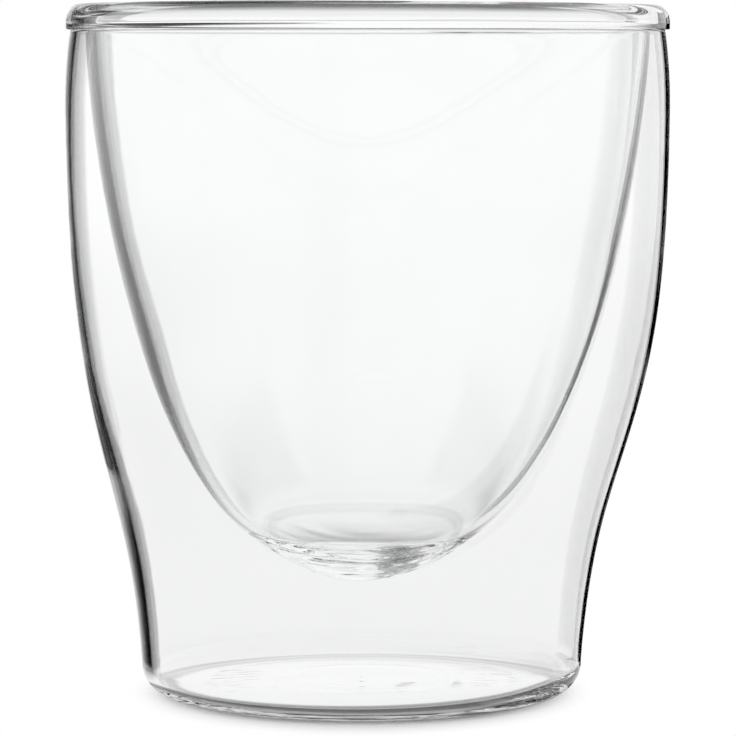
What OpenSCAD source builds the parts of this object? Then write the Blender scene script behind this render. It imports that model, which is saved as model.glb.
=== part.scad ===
// Double walled drinking glass: a round bowl hung inside an outer wall, closed at the rim
// by a fused glass bead and in the middle of the base by a fused glass disc.
// The axis is Z, and the cup stands on Z = 0 with the origin in the middle of its foot.

/* [Outer wall] */
// Height of the whole cup, from its foot to the crest of the rim
height = 100; // [88:1:125]
// Outside diameter at the belly, the widest ring of the outer wall
belly_d = 87.4; // [82:0.2:98]
// How far the belly lies below the ends of the two walls at the rim
belly_drop = 10.8; // [8:0.2:22]
// Outside diameter of the outer wall just above its rounded foot
foot_d = 64.2; // [56:0.2:74]
// Width of the foot's rounding, seen from the side
foot_round_w = 4.6; // [3:0.2:6]
// Height of the foot's rounding
foot_round_h = 4.4; // [3.6:0.2:7]
// Thickness of the outer wall
wall_t = 1; // [0.8:0.05:1.6]
// How far the outer wall draws in between the belly and the rim, on the radius
neck_in = 0.75; // [0.2:0.05:1.6]

/* [Base] */
// Thickness of the base
base_t = 1.5; // [1:0.1:2.4]
// Width of the flat ring that the cup stands on
rest_w = 3; // [1.6:0.2:4]
// Height of the shallow hollow under the base, inside that ring
hollow_h = 0.6; // [0.3:0.1:1.2]
// Diameter of the fused disc that closes the middle of the base
seal_d = 25; // [12:1:30]
// How far the disc crowns above the base inside the cup
seal_crown = 0.3; // [0.1:0.1:0.8]

/* [Bowl] */
// Air gap between the two walls at the rim
rim_gap = 1.2; // [0.8:0.1:2.4]
// Thickness of the bowl's wall at its thickest ring, below the mouth
bowl_t = 1.6; // [1.4:0.1:2.2]
// Thickness of the bowl's wall at the mouth
bowl_mouth_t = 1.5; // [1.2:0.1:1.8]
// Thickness of the bowl's wall low down, just outside its thick bottom
bowl_low_t = 0.9; // [0.8:0.05:1.4]
// Thickness of the bowl in the middle of its bottom
bowl_bottom_t = 3.5; // [2.4:0.1:4.4]
// Diameter of the thickened part of the bowl's bottom
bowl_thick_d = 34; // [20:1:38]
// Air space between the base and the bottom of the bowl
under_gap = 14.4; // [8:0.4:24]

/* [Rim] */
// Height of the fused bead above the ends of the two walls
rim_h = 3.7; // [3:0.1:6]
// How far the bead stands out past the outer wall
lip_out = 0.65; // [0.3:0.05:1]
// Height of the upright band round the outside of the bead
lip_band_h = 1.1; // [0.6:0.1:1.8]
// Rounding of the lip's lower edge
lip_round = 0.25; // [0.1:0.05:0.3]
// How far the air gap arches up into the bead
gap_arch_h = 0.8; // [0.3:0.1:1]

/* [Hidden] */
clear_glass = [0.86, 0.91, 0.92, 0.45];
$fn = 160;

// Steps along a long curve, a short arc and a shallow dome
curve_steps = 44;
arc_steps = 10;
dome_steps = 8;
quarter_turn = 90;
half_turn = 180;

// The outer wall's curve leaves the foot leaning out by lean_share of its rise, and is pulled
// along that line and down from the belly by these shares of the distance between the two.
lean_share = 0.071;
foot_pull_share = 0.405;
belly_pull_share = 0.626;

// Powers that shape the bowl: the first draws its sides in, the second rounds its bottom.
taper_power = 1.41;
bottom_power = 3.02;

// Where the bowl's thickest ring lies, as a share of its depth
thickest_share = 0.4;

// Where the crest of the rim lies across the bead, as a share of its width
crest_share = 0.49;

belly_r = belly_d / 2;
foot_r = foot_d / 2;
contact_r = foot_r - foot_round_w;
hollow_r = contact_r - rest_w;
seal_r = seal_d / 2;
seat_z = height - rim_h;
belly_z = seat_z - belly_drop;
neck_r = belly_r - neck_in;
shell_top_r = neck_r - wall_t;
bowl_top_r = shell_top_r - rim_gap;
mouth_r = bowl_top_r - bowl_mouth_t;
lip_r = neck_r + lip_out;
crest_r = mouth_r + crest_share * (lip_r - mouth_r);
band_top_z = seat_z + lip_band_h;
bowl_under_z = base_t + hollow_h + seal_crown + under_gap;
bowl_floor_z = bowl_under_z + bowl_bottom_t;
bowl_depth = seat_z - bowl_floor_z;
bowl_thick_r = bowl_thick_d / 2;

// Point at share t of the curve that four control points steer
function steered(a, b, c, d, t) =
    pow(1 - t, 3) * a + 3 * pow(1 - t, 2) * t * b + 3 * (1 - t) * t * t * c + pow(t, 3) * d;

// Points of part of an ellipse about a centre, from one angle to another
function arc(centre, rx, rz, from, to, steps) =
    [for (i = [0 : steps]) let (a = from + (to - from) * i / steps)
        [centre[0] + rx * cos(a), centre[1] + rz * sin(a)]];

// Unit vector square to the line at point i, on the left of its run
function side(line, i) =
    let (a = line[max(i - 1, 0)], b = line[min(i + 1, len(line) - 1)], run = b - a)
        [-run[1], run[0]] / norm(run);

// The items of a list between two places, both counted in
function slice(list, from, to) = [for (i = [from : to]) list[i]];

function reversed(list) = [for (i = [len(list) - 1 : -1 : 0]) list[i]];

// Rise of the shallow dome in the middle of the base, at radius r
function hollow_at(r) = hollow_h * (1 - pow(r / hollow_r, 2));

// Line across that dome, lifted by the height given, from the seal out to the flat ring
function dome_line(lift) =
    [for (i = [0 : dome_steps]) let (r = seal_r + (hollow_r - seal_r) * i / dome_steps)
        [r, hollow_at(r) + lift]];

// Outside of the outer wall, from the flat ring at the foot up to the rim bead
foot_line = arc([contact_r, foot_round_h], foot_round_w, foot_round_h, -quarter_turn, 0, arc_steps);
wall_rise = belly_z - foot_round_h;
wall_line = [for (i = [1 : curve_steps]) steered(
    [foot_r, foot_round_h],
    [foot_r + lean_share * foot_pull_share * wall_rise, foot_round_h + foot_pull_share * wall_rise],
    [belly_r, belly_z - belly_pull_share * wall_rise],
    [belly_r, belly_z],
    i / curve_steps)];
neck_line = [for (i = [1 : arc_steps]) let (u = i / arc_steps)
    [belly_r - neck_in * u * u, belly_z + belly_drop * u]];
outside = concat(foot_line, wall_line, neck_line);

// Inside of the outer wall: the outside moved in by the thickness, which runs from that of
// the base to that of the wall round the foot's rounding.
function shell_t(i) = base_t + (wall_t - base_t) * min(i / arc_steps, 1);
inside = [for (i = [1 : len(outside) - 2]) outside[i] + shell_t(i) * side(outside, i)];

// Inside of the bowl, from the rim down to the middle of its bottom
bowl_line = [for (i = [0 : curve_steps]) let (a = quarter_turn * i / curve_steps)
    [mouth_r * pow(cos(a), 2 / bottom_power), seat_z - bowl_depth * pow(sin(a), 2 / taper_power)]];

// Thickness of the bowl's wall at a share of its depth: it grows to the thickest ring, then
// thins towards the bottom.
function wall_t_at(share) = share < thickest_share
    ? bowl_mouth_t + (bowl_t - bowl_mouth_t) * sin(quarter_turn * share / thickest_share)
    : bowl_low_t + (bowl_t - bowl_low_t)
        * pow(cos(quarter_turn * (share - thickest_share) / (1 - thickest_share)), 2);

// What the thick bottom adds to that at radius r
function bottom_t_at(r) =
    (bowl_bottom_t - bowl_low_t) * pow(max(1 - pow(r / bowl_thick_r, 2), 0), 2);

// Outside of the bowl: the inside moved out by both
function bowl_t_at(p) = wall_t_at((seat_z - p[1]) / bowl_depth) + bottom_t_at(p[0]);
bowl_back = [for (i = [1 : curve_steps - 1])
    bowl_line[i] + bowl_t_at(bowl_line[i]) * side(bowl_line, i)];

// Outer wall with its rounded foot and base, open in the middle of the base
module outer_shell() {
    color(clear_glass)
        rotate_extrude()
            polygon(concat(
                dome_line(0),
                outside,
                [[shell_top_r, seat_z]],
                reversed(inside),
                [[contact_r, base_t]],
                reversed(dome_line(base_t))));
}

// Bowl that holds the drink
module inner_bowl() {
    color(clear_glass)
        rotate_extrude()
            polygon(concat(
                slice(bowl_line, 0, curve_steps - 1),
                [[0, bowl_floor_z], [0, bowl_under_z]],
                reversed(bowl_back),
                [[bowl_top_r, seat_z]]));
}

// Bead that joins the two walls at the rim and closes the air gap between them
module rim_bead() {
    gap_mid_r = (bowl_top_r + shell_top_r) / 2;
    crest_rise = height - band_top_z;
    color(clear_glass)
        rotate_extrude()
            polygon(concat(
                [[mouth_r, seat_z]],
                arc([gap_mid_r, seat_z], rim_gap / 2, gap_arch_h, half_turn, 0, arc_steps),
                [[neck_r, seat_z]],
                arc([lip_r - lip_round, seat_z + lip_round], lip_round, lip_round,
                    -quarter_turn, 0, arc_steps),
                arc([crest_r, band_top_z], lip_r - crest_r, crest_rise, 0, quarter_turn, arc_steps),
                slice(arc([crest_r, band_top_z], crest_r - mouth_r, crest_rise,
                    quarter_turn, half_turn, arc_steps), 1, arc_steps)));
}

// Disc fused into the base, where the space between the walls was closed last
module base_seal() {
    function crown_at(r) = seal_crown * (1 - pow(r / seal_r, 2));
    rim_to_axis = [for (i = [dome_steps : -1 : 0]) seal_r * i / dome_steps];
    color(clear_glass)
        rotate_extrude()
            polygon(concat(
                [for (r = reversed(rim_to_axis)) [r, hollow_at(r)]],
                [for (r = rim_to_axis) [r, hollow_at(r) + base_t + crown_at(r)]]));
}

outer_shell();
inner_bowl();
rim_bead();
base_seal();
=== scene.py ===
import math

import bpy
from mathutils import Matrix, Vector, noise


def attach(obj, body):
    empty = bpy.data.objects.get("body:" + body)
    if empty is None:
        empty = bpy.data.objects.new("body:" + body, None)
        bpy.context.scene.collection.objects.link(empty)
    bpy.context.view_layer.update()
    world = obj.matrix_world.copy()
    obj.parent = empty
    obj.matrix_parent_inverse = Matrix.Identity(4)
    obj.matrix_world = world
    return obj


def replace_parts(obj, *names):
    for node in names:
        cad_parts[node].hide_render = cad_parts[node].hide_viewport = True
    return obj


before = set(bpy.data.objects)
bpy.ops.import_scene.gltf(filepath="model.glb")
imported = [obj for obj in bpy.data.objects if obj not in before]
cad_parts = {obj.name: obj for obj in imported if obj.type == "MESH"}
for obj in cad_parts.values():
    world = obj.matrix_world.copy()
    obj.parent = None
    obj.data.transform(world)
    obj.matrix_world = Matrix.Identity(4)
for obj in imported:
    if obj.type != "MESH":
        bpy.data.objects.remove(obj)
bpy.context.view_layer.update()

# Sizes of the cup in metres, as in the part's source. Its outer wall:
MM = 0.001
HEIGHT = 100 * MM
BELLY_R = 43.7 * MM
BELLY_DROP = 10.8 * MM
FOOT_R = 32.1 * MM
FOOT_ROUND_W = 4.6 * MM
FOOT_ROUND_H = 4.4 * MM
WALL_T = 1 * MM
NECK_IN = 0.75 * MM
# Its base, with the hollow inside the ring it rests on, and the fused disc
BASE_T = 1.5 * MM
REST_W = 3 * MM
HOLLOW_H = 0.6 * MM
SEAL_R = 12.5 * MM
SEAL_CROWN = 0.3 * MM
# Its bowl, the gap between the walls at the rim, and the air space under the bowl
RIM_GAP = 1.2 * MM
BOWL_T = 1.6 * MM
BOWL_MOUTH_T = 1.5 * MM
BOWL_LOW_T = 0.9 * MM
BOWL_BOTTOM_T = 3.5 * MM
BOWL_THICK_R = 17 * MM
UNDER_GAP = 14.4 * MM
# Its rim bead, which stands out in an upright band, and the arch of the gap inside it
RIM_H = 3.7 * MM
LIP_OUT = 0.65 * MM
LIP_BAND_H = 1.1 * MM
LIP_ROUND = 0.25 * MM
GAP_ARCH_H = 0.8 * MM
# How the outer wall's curve leaves the foot and is pulled at both ends, the powers of the
# bowl's curve, and where its thickest ring and the crest of the rim lie
LEAN_SHARE = 0.071
FOOT_PULL_SHARE = 0.405
BELLY_PULL_SHARE = 0.626
TAPER_POWER = 1.41
BOTTOM_POWER = 3.02
THICKEST_SHARE = 0.4
CREST_SHARE = 0.49

# The upper part of the cup stands this far out of line with its foot
LEAN = 0.87 * MM
LEAN_LOW_Z = 22 * MM
LEAN_HIGH_Z = 58 * MM
# The outer wall is blown thinner at the belly and is left thicker low down, and low down the
# insides of both walls lie out of line with their outsides
BELLY_THIN = 0.22 * MM
BELLY_THIN_Z = 72 * MM
BELLY_THIN_SPAN = 28 * MM
LOW_THICK = 0.22 * MM
LOW_THICK_Z = 22 * MM
LOW_THICK_SPAN = 26 * MM
SHELL_OFF = 0.3 * MM
SHELL_OFF_Z = 25 * MM, 50 * MM
BOWL_OFF = 0.3 * MM
BOWL_OFF_Z = 48 * MM, 68 * MM
# What the hand leaves uneven: heights of the waves in the walls and in the rim, the heights
# between which those in the walls set in, and their grain, which is longer upright
WALL_WAVE = 0.12 * MM
WALL_WAVE_Z = 6 * MM, 20 * MM
WALL_GRAIN = 40 * MM
WALL_LONG_SHARE = 0.6
RIM_WAVE = 0.25 * MM
RIM_GRAIN = 0.9
# Folds under the bowl, which run across it and slant a little, and the round mark where it
# was drawn off, a little to the left
FOLD_H = 0.16 * MM
FOLD_R = 14 * MM, 22 * MM
FOLD_FADE_H = 4 * MM
FOLD_GRAIN = 2.5 * MM
FOLD_LONG = 3.5
FOLD_SLANT = 0.2
MARK_X = -1.8 * MM
MARK_R = 6.6 * MM
MARK_EDGE = 0.6 * MM
MARK_WAVE = 0.9 * MM
MARK_GRAIN = 0.7
MARK_H = 0.2 * MM
# Single short folds in front: where each one lies (x and y), half its length and half its width
# across, and how far it stands out
SHORT_FOLDS = (
    (-1.5 * MM, -6 * MM, 8 * MM, 1 * MM, 0.3 * MM),
    (-3 * MM, -3.4 * MM, 3.2 * MM, 0.7 * MM, 0.25 * MM),
    (3.5 * MM, -11 * MM, 0.9 * MM, 0.6 * MM, 0.3 * MM),
)
# The rough ring where the base was closed: its middling height, by what share that varies,
# half its width, and how far it wanders off the joint
SCAR_H = 0.09 * MM
SCAR_H_SHARE = 1 / 3
SCAR_H_GRAIN = 0.4
SCAR_W = 3.2 * MM
SCAR_WAVE = 0.8 * MM
SCAR_GRAIN = 0.6
# Streaks towards the two sides of the base, which fade out before its rounded corner
STREAK_H = 0.05 * MM
STREAK_X = 20 * MM
STREAK_SPAN = 8 * MM
STREAK_FADE = 2 * MM
STREAK_GRAIN = 1.3 * MM
STREAK_LONG = 3.5
# Places where the waves round the axis are picked, one for each surface that has them
SCAR_PLACE, MARK_PLACE, RIM_PLACE, SCAR_H_PLACE = 0.3, 1.0, 2.0, 4.0

# Worked out from those sizes
CONTACT_R = FOOT_R - FOOT_ROUND_W
HOLLOW_R = CONTACT_R - REST_W
SEAT_Z = HEIGHT - RIM_H
BELLY_H = SEAT_Z - BELLY_DROP
NECK_R = BELLY_R - NECK_IN
SHELL_TOP_R = NECK_R - WALL_T
BOWL_TOP_R = SHELL_TOP_R - RIM_GAP
MOUTH_R = BOWL_TOP_R - BOWL_MOUTH_T
LIP_R = NECK_R + LIP_OUT
CREST_R = MOUTH_R + CREST_SHARE * (LIP_R - MOUTH_R)
BAND_TOP_Z = SEAT_Z + LIP_BAND_H
BOWL_UNDER_Z = BASE_T + HOLLOW_H + SEAL_CROWN + UNDER_GAP
BOWL_FLOOR_Z = BOWL_UNDER_Z + BOWL_BOTTOM_T
BOWL_DEPTH = SEAT_Z - BOWL_FLOOR_Z

# How finely the outlines are drawn, and the radius inside which the bowl's steps go by radius
SEGMENTS = 360
LONG_STEPS = 120
BOTTOM_STEPS = 84
ARC_STEPS = 28
BASE_STEPS = 42
BOWL_FLAT_R = 25 * MM
# Places of the two materials in a piece: the glass, and the faces of its fused joints
GLASS, FUSED = 0, 1
# The glass itself: how strongly it bends light, its waviness and its tint
BENDING = 1.47
WAVE_GRAIN = 9 * MM
WAVE_DETAIL = 2
WAVE_H = 0.01 * MM
TINT = 0.985, 0.99, 0.99, 1
WHITE = 1, 1, 1, 1


def steered(a, b, c, d, t):
    """Point at share t of the curve that four control points steer."""
    return tuple(
        (1 - t) ** 3 * p + 3 * (1 - t) ** 2 * t * q + 3 * (1 - t) * t * t * r + t ** 3 * s
        for p, q, r, s in zip(a, b, c, d)
    )


def arc(centre, rx, rz, start, end, steps):
    """Points of part of an ellipse, angles in degrees."""
    turns = [math.radians(start + (end - start) * i / steps) for i in range(steps + 1)]
    return [(centre[0] + rx * math.cos(t), centre[1] + rz * math.sin(t)) for t in turns]


def moved_in(line, thickness):
    """The line moved to the left of its run by thickness(i)."""
    out = []
    for i in range(1, len(line) - 1):
        a, b = line[i - 1], line[i + 1]
        run = (b[0] - a[0], b[1] - a[1])
        long = math.hypot(*run)
        t = thickness(i)
        out.append((line[i][0] - t * run[1] / long, line[i][1] + t * run[0] / long))
    return out


def hollow_at(r):
    """Height of the hollow under the base."""
    return HOLLOW_H * (1 - (r / HOLLOW_R) ** 2)


def crown_at(r):
    """How far the disc stands above the inside of the base."""
    return SEAL_CROWN * (1 - (r / SEAL_R) ** 2) ** 2


def spread(a, b, steps):
    """From a to b, in even steps."""
    return [a + (b - a) * i / steps for i in range(steps + 1)]


def spread_from(a, b, steps):
    """From a to b, in steps that start fine."""
    return [a + (b - a) * (1 - math.cos(math.pi / 2 * i / steps)) for i in range(steps + 1)]


def smooth(value, low, high):
    """0 up to low, 1 past high, and a smooth turn between them."""
    t = min(max((value - low) / (high - low), 0), 1)
    return t * t * (3 - 2 * t)


def hump(value, middle, width):
    """1 at the middle, falling to 0 at width on both sides of it."""
    t = max(1 - ((value - middle) / width) ** 2, 0)
    return t * t


def ripple(x, y, z, grain):
    """Smooth random waves of the given grain, from -1 to 1."""
    return noise.noise(Vector((x / grain, y / grain, z / grain)))


def round_ripple(x, y, place, grain):
    """Waves that run round the axis: the place picks one set of them."""
    turn = math.atan2(y, x)
    return ripple(math.cos(turn), math.sin(turn), place, grain)


def as_turned(x, y, z):
    """A surface with no unevenness of its own."""
    return x, y, z


def off_in_shell(x, y, z):
    """The inside of the outer wall, out of line low down."""
    share = smooth(z, BASE_T, FOOT_ROUND_H) * (1 - smooth(z, *SHELL_OFF_Z))
    return x + SHELL_OFF * share, y, z


def off_in_bowl(x, y, z):
    """The inside of the bowl, out of line low down."""
    return x + BOWL_OFF * (1 - smooth(z, *BOWL_OFF_Z)), y, z


def drawn_off(x, y, z):
    """The underside of the bowl, with its folds and its mark."""
    share = 1 - smooth(math.hypot(x, y), *FOLD_R)
    share *= 1 - smooth(z, BOWL_FLOOR_Z, BOWL_FLOOR_Z + FOLD_FADE_H)
    drop = FOLD_H * ripple(x / FOLD_LONG + FOLD_SLANT * y, y, 0, FOLD_GRAIN)
    side_x = x - MARK_X
    edge = MARK_R + MARK_WAVE * round_ripple(side_x, y, MARK_PLACE, MARK_GRAIN)
    drop += MARK_H * (1 - smooth(math.hypot(side_x, y), edge - MARK_EDGE, edge + MARK_EDGE))
    for fold_x, fold_y, half_long, half_wide, height in SHORT_FOLDS:
        drop += height * hump(x, fold_x, half_long) * hump(y, fold_y, half_wide)
    return x, y, z - share * drop


def closed_up(x, y, z):
    """The inside of the base, with the ring and the streaks that its closing left."""
    r = math.hypot(x, y)
    ring_r = SEAL_R + SCAR_WAVE * round_ripple(x, y, SCAR_PLACE, SCAR_GRAIN)
    ring_h = SCAR_H * (1 + SCAR_H_SHARE * round_ripple(x, y, SCAR_H_PLACE, SCAR_H_GRAIN))
    rise = ring_h * hump(r, ring_r, SCAR_W)
    streak = hump(abs(x), STREAK_X, STREAK_SPAN) * (1 - smooth(r, HOLLOW_R - STREAK_FADE, HOLLOW_R))
    rise += STREAK_H * streak * ripple(x / STREAK_LONG, y, 0, STREAK_GRAIN)
    return x, y, z + rise


def glass(line, own=as_turned):
    """Outline points along a surface of the glass, with the unevenness that it has of its own."""
    return [(r, z, GLASS, own) for r, z in line]


def fused(point, own=as_turned):
    """The outline point at which a joint face starts."""
    return [(*point, FUSED, own)]


def outside_line():
    """The outer wall's outside, from the ring it stands on up to the rim."""
    foot = arc((CONTACT_R, FOOT_ROUND_H), FOOT_ROUND_W, FOOT_ROUND_H, -90, 0, ARC_STEPS)
    rise = BELLY_H - FOOT_ROUND_H
    low, high = (FOOT_R, FOOT_ROUND_H), (BELLY_R, BELLY_H)
    low_pull = (FOOT_R + LEAN_SHARE * FOOT_PULL_SHARE * rise, FOOT_ROUND_H + FOOT_PULL_SHARE * rise)
    high_pull = (BELLY_R, BELLY_H - BELLY_PULL_SHARE * rise)
    wall = [steered(low, low_pull, high_pull, high, i / LONG_STEPS) for i in range(1, LONG_STEPS + 1)]
    neck = [
        (BELLY_R - NECK_IN * u * u, BELLY_H + (SEAT_Z - BELLY_H) * u)
        for u in spread(0, 1, ARC_STEPS)[1:]
    ]
    return foot + wall + neck


def shell_outline():
    """Section of the outer wall: [(r, z, material of the face that follows, own unevenness)]."""
    outside = outside_line()

    def thickness(i):
        z = outside[i][1]
        wall = WALL_T + LOW_THICK * hump(z, LOW_THICK_Z, LOW_THICK_SPAN)
        wall -= BELLY_THIN * hump(z, BELLY_THIN_Z, BELLY_THIN_SPAN)
        return BASE_T + (wall - BASE_T) * min(i / ARC_STEPS, 1)

    inside = moved_in(outside, thickness)
    under = [(r, hollow_at(r)) for r in spread_from(SEAL_R, HOLLOW_R, BASE_STEPS)]
    over = [(r, z + BASE_T) for r, z in under]
    run = glass(under + outside[:-1]) + fused(outside[-1]) + glass([(SHELL_TOP_R, SEAT_Z)])
    run += glass(reversed(inside), off_in_shell) + glass([(CONTACT_R, BASE_T)])
    return run + glass(reversed(over[1:]), closed_up) + fused(over[0], closed_up)


def bowl_outline():
    """Section of the bowl, from the mouth down its inside and back up its outside."""
    steep = math.acos((BOWL_FLAT_R / MOUTH_R) ** (BOTTOM_POWER / 2))
    turns = spread(0, steep, LONG_STEPS)
    flat_radii = spread(BOWL_FLAT_R, 0, BOTTOM_STEPS)[1:-1]
    turns += [math.acos((r / MOUTH_R) ** (BOTTOM_POWER / 2)) for r in flat_radii]
    line = [
        (
            MOUTH_R * math.cos(a) ** (2 / BOTTOM_POWER),
            SEAT_Z - BOWL_DEPTH * math.sin(a) ** (2 / TAPER_POWER),
        )
        for a in turns
    ]
    line.append((0.0, BOWL_FLOOR_Z))

    def thickness(i):
        share = (SEAT_Z - line[i][1]) / BOWL_DEPTH
        if share < THICKEST_SHARE:
            turn = math.pi / 2 * share / THICKEST_SHARE
            wall = BOWL_MOUTH_T + (BOWL_T - BOWL_MOUTH_T) * math.sin(turn)
        else:
            turn = math.pi / 2 * (share - THICKEST_SHARE) / (1 - THICKEST_SHARE)
            wall = BOWL_LOW_T + (BOWL_T - BOWL_LOW_T) * math.cos(turn) ** 2
        return wall + (BOWL_BOTTOM_T - BOWL_LOW_T) * max(1 - (line[i][0] / BOWL_THICK_R) ** 2, 0) ** 2

    back = moved_in(line, thickness)
    run = glass(line, off_in_bowl) + glass([(0.0, BOWL_UNDER_Z)], drawn_off)
    return run + glass(reversed(back), drawn_off) + fused((BOWL_TOP_R, SEAT_Z))


def rim_outline():
    """Section of the rim bead."""
    middle = ((BOWL_TOP_R + SHELL_TOP_R) / 2, SEAT_Z)
    rise = HEIGHT - BAND_TOP_Z
    roof = arc(middle, RIM_GAP / 2, GAP_ARCH_H, 180, 0, ARC_STEPS)
    corner = (LIP_R - LIP_ROUND, SEAT_Z + LIP_ROUND)
    lip = arc(corner, LIP_ROUND, LIP_ROUND, -90, 0, ARC_STEPS // 2)
    outer = arc((CREST_R, BAND_TOP_Z), LIP_R - CREST_R, rise, 0, 90, ARC_STEPS)
    inner = arc((CREST_R, BAND_TOP_Z), CREST_R - MOUTH_R, rise, 90, 180, ARC_STEPS)
    run = fused((MOUTH_R, SEAT_Z)) + glass(roof[:-1]) + fused(roof[-1])
    return run + glass([(NECK_R, SEAT_Z)] + lip + outer + inner[1:])


def seal_outline():
    """Section of the disc in the middle of the base."""
    radii = spread_from(SEAL_R, 0, BASE_STEPS)[::-1]
    under = [(r, hollow_at(r)) for r in radii]
    over = [(r, hollow_at(r) + BASE_T + crown_at(r)) for r in reversed(radii)]
    return glass(under[:-1]) + fused(under[-1]) + glass(over, closed_up)


def hand_made(x, y, z):
    """Where the glassworker's hand leaves a point of the true turned shape."""
    r = math.hypot(x, y)
    if r:
        wave = WALL_WAVE * smooth(z, *WALL_WAVE_Z) / r
        wave *= ripple(x, y, WALL_LONG_SHARE * z, WALL_GRAIN)
        x, y = x * (1 + wave), y * (1 + wave)
        z += RIM_WAVE * smooth(z, SEAT_Z, HEIGHT) * round_ripple(x, y, RIM_PLACE, RIM_GRAIN)
    return x + LEAN * smooth(z, LEAN_LOW_Z, LEAN_HIGH_Z), y, z


def put(name, data):
    """A new object of the scene with the mesh or the camera given."""
    thing = bpy.data.objects.new(name, data)
    bpy.context.scene.collection.objects.link(thing)
    return thing


def turned(name, outline, materials):
    """Turns a closed section round the axis into a closed mesh, one of the cup's pieces."""
    points, faces, kinds, rings = [], [], [], []
    for r, z, _, own in outline:
        if r == 0:
            rings.append([len(points)] * SEGMENTS)
            points.append(hand_made(*own(0.0, 0.0, z)))
            continue
        first = len(points)
        rings.append(list(range(first, first + SEGMENTS)))
        for s in range(SEGMENTS):
            a = 2 * math.pi * s / SEGMENTS
            points.append(hand_made(*own(r * math.cos(a), r * math.sin(a), z)))
    for i, (_, _, kind, _) in enumerate(outline):
        here, there = rings[i], rings[(i + 1) % len(rings)]
        if here[0] == here[1] and there[0] == there[1]:
            continue
        for s in range(SEGMENTS):
            t = (s + 1) % SEGMENTS
            face = [here[s], here[t], there[t], there[s]]
            face = [v for k, v in enumerate(face) if v != face[k - 1]]
            faces.append(face)
            kinds.append(kind)
    mesh = bpy.data.meshes.new(name)
    mesh.from_pydata(points, [], faces)
    mesh.polygons.foreach_set("material_index", kinds)
    mesh.polygons.foreach_set("use_smooth", [kind == GLASS for kind in kinds])
    for material in materials:
        mesh.materials.append(material)
    mesh.update()
    piece = put(name, mesh)
    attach(piece, "root")
    return piece


def new_material(name):
    """A material, its node tree, and the shader that it starts with."""
    material = bpy.data.materials.new(name)
    material.use_nodes = True
    tree = material.node_tree
    return material, tree, tree.nodes["Principled BSDF"]


def clear_glass():
    """Clear glass with a faint waviness and the faintest difference of tint."""
    material, tree, shader = new_material("clear_glass")
    shader.inputs["Roughness"].default_value = 0.0
    shader.inputs["IOR"].default_value = BENDING
    shader.inputs["Transmission Weight"].default_value = 1.0
    where = tree.nodes.new("ShaderNodeTexCoord")
    waves = tree.nodes.new("ShaderNodeTexNoise")
    waves.inputs["Scale"].default_value = 1 / WAVE_GRAIN
    waves.inputs["Detail"].default_value = WAVE_DETAIL
    tree.links.new(where.outputs["Object"], waves.inputs["Vector"])
    bump = tree.nodes.new("ShaderNodeBump")
    bump.inputs["Strength"].default_value = 1
    bump.inputs["Distance"].default_value = WAVE_H
    tree.links.new(waves.outputs["Fac"], bump.inputs["Height"])
    tree.links.new(bump.outputs[0], shader.inputs["Normal"])
    tint = tree.nodes.new("ShaderNodeMix")
    tint.data_type = "RGBA"
    tint.inputs["A"].default_value = WHITE
    tint.inputs["B"].default_value = TINT
    tree.links.new(waves.outputs["Fac"], tint.inputs["Factor"])
    tree.links.new(tint.outputs["Result"], shader.inputs["Base Color"])
    return material


def show(tree, shader):
    """Makes the shader the material's surface."""
    tree.links.new(shader.outputs[0], tree.nodes["Material Output"].inputs["Surface"])


def fused_seam():
    """The joint between two fused pieces, which doesn't show: light runs straight through it."""
    material, tree, shader = new_material("fused_seam")
    tree.nodes.remove(shader)
    show(tree, tree.nodes.new("ShaderNodeBsdfTransparent"))
    return material


# The camera at the photograph's angle. Its distance and height are in metres, and its pitch
# down is in radians. Its focal length is in pixels of the frame, where the foot's axis stands
# at this column.
FRAME_PX = 736
FOCAL_PX = 4004
CAMERA_D = 0.58125
CAMERA_Z = 0.093
PITCH = 0.07853
AXIS_PX = 361.3


def look():
    """Sets up the camera."""
    data = bpy.data.cameras.new("camera")
    camera = put("camera", data)
    data.lens = data.sensor_width * FOCAL_PX / FRAME_PX
    data.shift_x = (FRAME_PX / 2 - AXIS_PX) / FRAME_PX
    camera.location = (0, -CAMERA_D, CAMERA_Z)
    camera.rotation_euler = (math.pi / 2 - PITCH, 0, 0)
    bpy.context.scene.camera = camera


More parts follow.
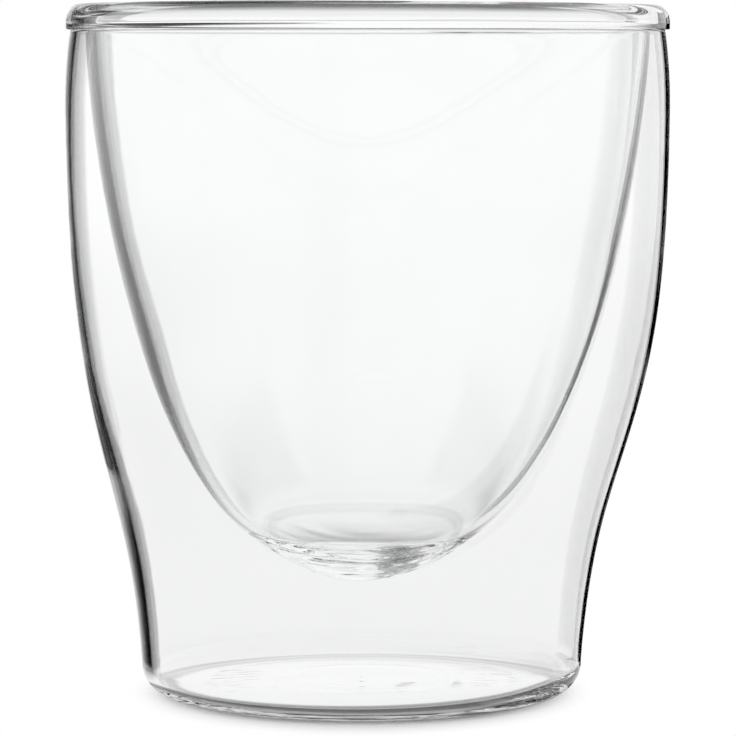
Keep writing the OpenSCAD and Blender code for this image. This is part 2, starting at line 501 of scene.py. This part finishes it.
class Sums:
    """Math nodes of a tree written as sums: each one gives the socket of its result."""

    def __init__(self, tree):
        self.tree = tree

    def __call__(self, operation, *values):
        node = self.tree.nodes.new("ShaderNodeMath")
        node.operation = operation
        for socket, value in zip(node.inputs, values):
            if isinstance(value, (int, float)):
                socket.default_value = value
            else:
                self.tree.links.new(value, socket)
        return node.outputs[0]

    def ramp(self, value, low, high, at_low=0.0, at_high=1.0):
        """at_low up to low, at_high past high, and a smooth turn between them."""
        node = self.tree.nodes.new("ShaderNodeMapRange")
        node.interpolation_type = "SMOOTHSTEP"
        self.tree.links.new(value, node.inputs["Value"])
        ends = {"From Min": low, "From Max": high, "To Min": at_low, "To Max": at_high}
        for name, number in ends.items():
            node.inputs[name].default_value = number
        return node.outputs[0]

    def between(self, value, low, high, soft):
        """1 between low and high and 0 outside, with a smooth turn of width soft at both."""
        rise = self.ramp(value, low - soft / 2, low + soft / 2)
        return self("MULTIPLY", rise, self.ramp(value, high - soft / 2, high + soft / 2, 1.0, 0.0))

    def rest(self, value):
        """What is left of 1."""
        return self("SUBTRACT", 1.0, value)

    def from_axis(self, x, y, x_share=1.0):
        """Distance from the cup's axis, where x counts by x_share of itself."""
        side = self("MULTIPLY", x, x_share)
        return self("SQRT", self("ADD", self("MULTIPLY", side, side), self("MULTIPLY", y, y)))

    def by_glass(self):
        """1 for a ray that comes off or through the glass, else 0."""
        path = self.tree.nodes.new("ShaderNodeLightPath")
        either = self("ADD", path.outputs["Is Glossy Ray"], path.outputs["Is Transmission Ray"])
        return self("MINIMUM", either, 1.0)

    def by_eye(self):
        """1 for a ray from the camera, straight or by way of the glass, else 0."""
        path = self.tree.nodes.new("ShaderNodeLightPath")
        return self("MAXIMUM", path.outputs["Is Camera Ray"], self.by_glass())


# Dark cards that the glass sees in the white round it. Each has its turn from straight behind
# the cup, with plus to the right, its lift above the horizon, and the softness of its edges,
# all in degrees, and then its level.
CARDS = {
    "left": ((-45, -13.3), (-18, 13), 1.5, 0.25),
    "left_deep": ((-40, -20), (-18, 13), 8, 0.0),
    "high_left": ((-60, -18), (18, 75), 6, 0.0),
    "low_back": ((-60, 60), (-65, -36), 6, 0.0),
    "low_left": ((-120, -60), (-65, -36), 10, 0.3),
    "low_right": ((60, 120), (-65, -36), 10, 0.3),
}
# The lifts below and above which the white is greyest and whitest, with those levels, and the
# strip straight behind the cup, which gets dark towards the floor
LIFTS = -9, -2
LEVELS = 0.87, 1.0
STRIP_TURNS = -18, 18
STRIP_SOFT = 4
STRIP_LIFTS = -34, -12
STRIP_LEVELS = 0.02, 1.0
DEGREE = math.pi / 180


def studio():
    """The world: white to the camera and to the floor, and to the glass white with dark cards."""
    world = bpy.data.worlds.new("studio")
    bpy.context.scene.world = world
    world.use_nodes = True
    tree = world.node_tree
    sums = Sums(tree)
    where = tree.nodes.new("ShaderNodeTexCoord")
    split = tree.nodes.new("ShaderNodeSeparateXYZ")
    tree.links.new(where.outputs["Generated"], split.inputs[0])
    x, y, z = split.outputs
    turn = sums("DIVIDE", sums("ARCTAN2", x, y), DEGREE)
    lift = sums("DIVIDE", sums("ARCSINE", z), DEGREE)
    level = sums.ramp(lift, *LIFTS, *LEVELS)
    in_strip = sums.between(turn, *STRIP_TURNS, STRIP_SOFT)
    strip_dark = sums.rest(sums.ramp(lift, *STRIP_LIFTS, *STRIP_LEVELS))
    level = sums("MULTIPLY", level, sums.rest(sums("MULTIPLY", in_strip, strip_dark)))
    for turns, lifts, soft, card_level in CARDS.values():
        cover = sums("MULTIPLY", sums.between(turn, *turns, soft), sums.between(lift, *lifts, soft))
        level = sums("MULTIPLY", level, sums.rest(sums("MULTIPLY", cover, 1 - card_level)))
    seen = sums.by_glass()
    level = sums("ADD", sums("MULTIPLY", level, seen), sums.rest(seen))
    back = tree.nodes["Background"]
    tree.links.new(level, back.inputs["Strength"])
    back.inputs["Color"].default_value = WHITE


def mixed(tree, share, one, other):
    """The one shader, with the other in its place by the given share."""
    mix = tree.nodes.new("ShaderNodeMixShader")
    tree.links.new(share, mix.inputs["Fac"])
    tree.links.new(one.outputs[0], mix.inputs[1])
    tree.links.new(other.outputs[0], mix.inputs[2])
    return mix


# A card stands close behind the cup on the right, a gap away from the cup's outline and cut to
# it: black in front and, by its thickness behind that, white. Only the glass sees it.
CUT_Y = 20 * MM
CUT_GAP = 3.6 * MM
CUT_W = 8.7 * MM
CUT_T = 0.1 * MM
CUT_BACK = 0.95


def card_face(name, level):
    """The face of a card: as bright as level to the glass, and nothing at all to the rest."""
    material, tree, shader = new_material(name)
    tree.nodes.remove(shader)
    shown = tree.nodes.new("ShaderNodeEmission")
    shown.inputs["Strength"].default_value = level
    hidden = tree.nodes.new("ShaderNodeBsdfTransparent")
    show(tree, mixed(tree, Sums(tree).by_glass(), hidden, shown))
    return material


def stand_cut_card():
    """Stands the card up as two upright strips, the black one and the white one behind it."""
    edge = [(r + LEAN * smooth(z, LEAN_LOW_Z, LEAN_HIGH_Z) + CUT_GAP, z) for r, z in outside_line()]
    edge.append((edge[-1][0], HEIGHT))
    n = len(edge)
    points, faces = [], []
    for y in (CUT_Y, CUT_Y + CUT_T):
        first = len(points)
        points += [(x, y, z) for x, z in edge] + [(x + CUT_W, y, z) for x, z in edge]
        faces += [(i, i + n, i + n + 1, i + 1) for i in range(first, first + n - 1)]
    mesh = bpy.data.meshes.new("cut_card")
    mesh.from_pydata(points, [], faces)
    mesh.materials.append(card_face("card_black", 0.0))
    mesh.materials.append(card_face("card_white", CUT_BACK))
    mesh.polygons.foreach_set("material_index", [0] * (n - 1) + [1] * (n - 1))
    put("cut_card", mesh)


# The floor, a hair below the foot. The camera sees the cup's shadow on it, which fades out
# between the first two radii, a little sooner at the sides. Between the next two the glass
# stops seeing the floor and sees the studio in its place.
FLOOR_HALF = 4.0
FLOOR_Z = -0.02 * MM
FREE_NEAR, FREE_FAR = 29 * MM, 41 * MM
FREE_NARROW = 1.2
FLOOR_NEAR, FLOOR_FAR = 36 * MM, 46 * MM
# Through the glass it looks a little greyer, and a contact shadow is painted on it round the foot
# that only the glass sees: a dark ring with a paler line in it, darkest in front and a little
# wider at the sides.
SEEN_LEVEL = 0.87
PAINTED_SHADOW_RADII = 25.5 * MM, 30.2 * MM
PAINTED_SHADOW_SOFT = 1.2 * MM
PAINTED_SHADOW_PALE_LINE = 27.4 * MM, 28.5 * MM
PAINTED_SHADOW_PALE_LINE_SOFT = 0.5 * MM
PAINTED_SHADOW_PALE_LINE_SHARE = 0.3
PAINTED_SHADOW_WIDE = 0.93
PAINTED_SHADOW_LEVELS = 0.1, 0.6
PAINTED_SHADOW_FRONT_Y = -8 * MM, 14 * MM


def floor_level_with_painted_shadow(sums, x, y, glass_ray):
    """How bright the floor's white is, with the painted contact shadow that only the glass sees."""
    # Painted contact shadow round the foot, seen only through the glass: a dark ring, darkest in
    # front, with a paler line in it.
    shadow_ring_away = sums.from_axis(x, y, PAINTED_SHADOW_WIDE)
    line = sums("MULTIPLY", sums.between(shadow_ring_away, *PAINTED_SHADOW_PALE_LINE, PAINTED_SHADOW_PALE_LINE_SOFT), PAINTED_SHADOW_PALE_LINE_SHARE)
    ring = sums("MULTIPLY", sums.between(shadow_ring_away, *PAINTED_SHADOW_RADII, PAINTED_SHADOW_SOFT), sums.rest(line))
    ring = sums("MULTIPLY", glass_ray, ring)
    shadow_depth = sums.rest(sums.ramp(y, *PAINTED_SHADOW_FRONT_Y, *PAINTED_SHADOW_LEVELS))
    level = sums.rest(sums("MULTIPLY", glass_ray, 1 - SEEN_LEVEL))
    return sums("MULTIPLY", level, sums.rest(sums("MULTIPLY", ring, shadow_depth)))


def floor_material():
    """Pale floor: one that takes the shadow, one that shines white, and none, mixed by place."""
    material, tree, shaded = new_material("floor")
    sums = Sums(tree)
    shaded.inputs["Base Color"].default_value = WHITE
    shaded.inputs["Roughness"].default_value = 1
    shaded.inputs["Specular IOR Level"].default_value = 0
    free = tree.nodes.new("ShaderNodeEmission")
    none = tree.nodes.new("ShaderNodeBsdfTransparent")
    where = tree.nodes.new("ShaderNodeTexCoord")
    split = tree.nodes.new("ShaderNodeSeparateXYZ")
    tree.links.new(where.outputs["Object"], split.inputs[0])
    x, y, _ = split.outputs
    glass_ray = sums.by_glass()
    # The white that shines carries the painted contact shadow that the glass sees.
    tree.links.new(floor_level_with_painted_shadow(sums, x, y, glass_ray), free.inputs["Strength"])
    freed = sums.ramp(sums.from_axis(x, y, FREE_NARROW), FREE_NEAR, FREE_FAR)
    freed = sums("MULTIPLY", sums.by_eye(), sums("MAXIMUM", freed, glass_ray))
    beyond = sums("MULTIPLY", glass_ray, sums.ramp(sums.from_axis(x, y), FLOOR_NEAR, FLOOR_FAR))
    show(tree, mixed(tree, beyond, mixed(tree, freed, shaded, free), none))
    return material


def lay_floor():
    """Lays the floor as one wide square."""
    corners = [(-1, -1), (1, -1), (1, 1), (-1, 1)]
    points = [(x * FLOOR_HALF, y * FLOOR_HALF, FLOOR_Z) for x, y in corners]
    mesh = bpy.data.meshes.new("floor")
    mesh.from_pydata(points, [], [(0, 1, 2, 3)])
    mesh.materials.append(floor_material())
    put("floor", mesh)


# How often light is followed on through the glass, and off or past it
THROUGH_TIMES, PAST_TIMES = 64, 32


def settle_render():
    """Plain tones, and light paths long enough to come out of the foot's thick glass."""
    scene = bpy.context.scene
    scene.view_settings.view_transform = "Standard"
    scene.cycles.max_bounces = THROUGH_TIMES
    scene.cycles.transmission_bounces = THROUGH_TIMES
    scene.cycles.glossy_bounces = PAST_TIMES
    scene.cycles.transparent_max_bounces = PAST_TIMES


# The cup: each piece with its outline and the node that it stands for
PIECES = (
    ("outer_wall", shell_outline, "outer_shell"),
    ("bowl", bowl_outline, "inner_bowl"),
    ("rim", rim_outline, "rim_bead"),
    ("base_disc", seal_outline, "base_seal"),
)
cup_materials = [clear_glass(), fused_seam()]
for piece_name, outline, node in PIECES:
    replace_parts(turned(piece_name, outline(), cup_materials), node)

look()
lay_floor()
stand_cut_card()
studio()
settle_render()
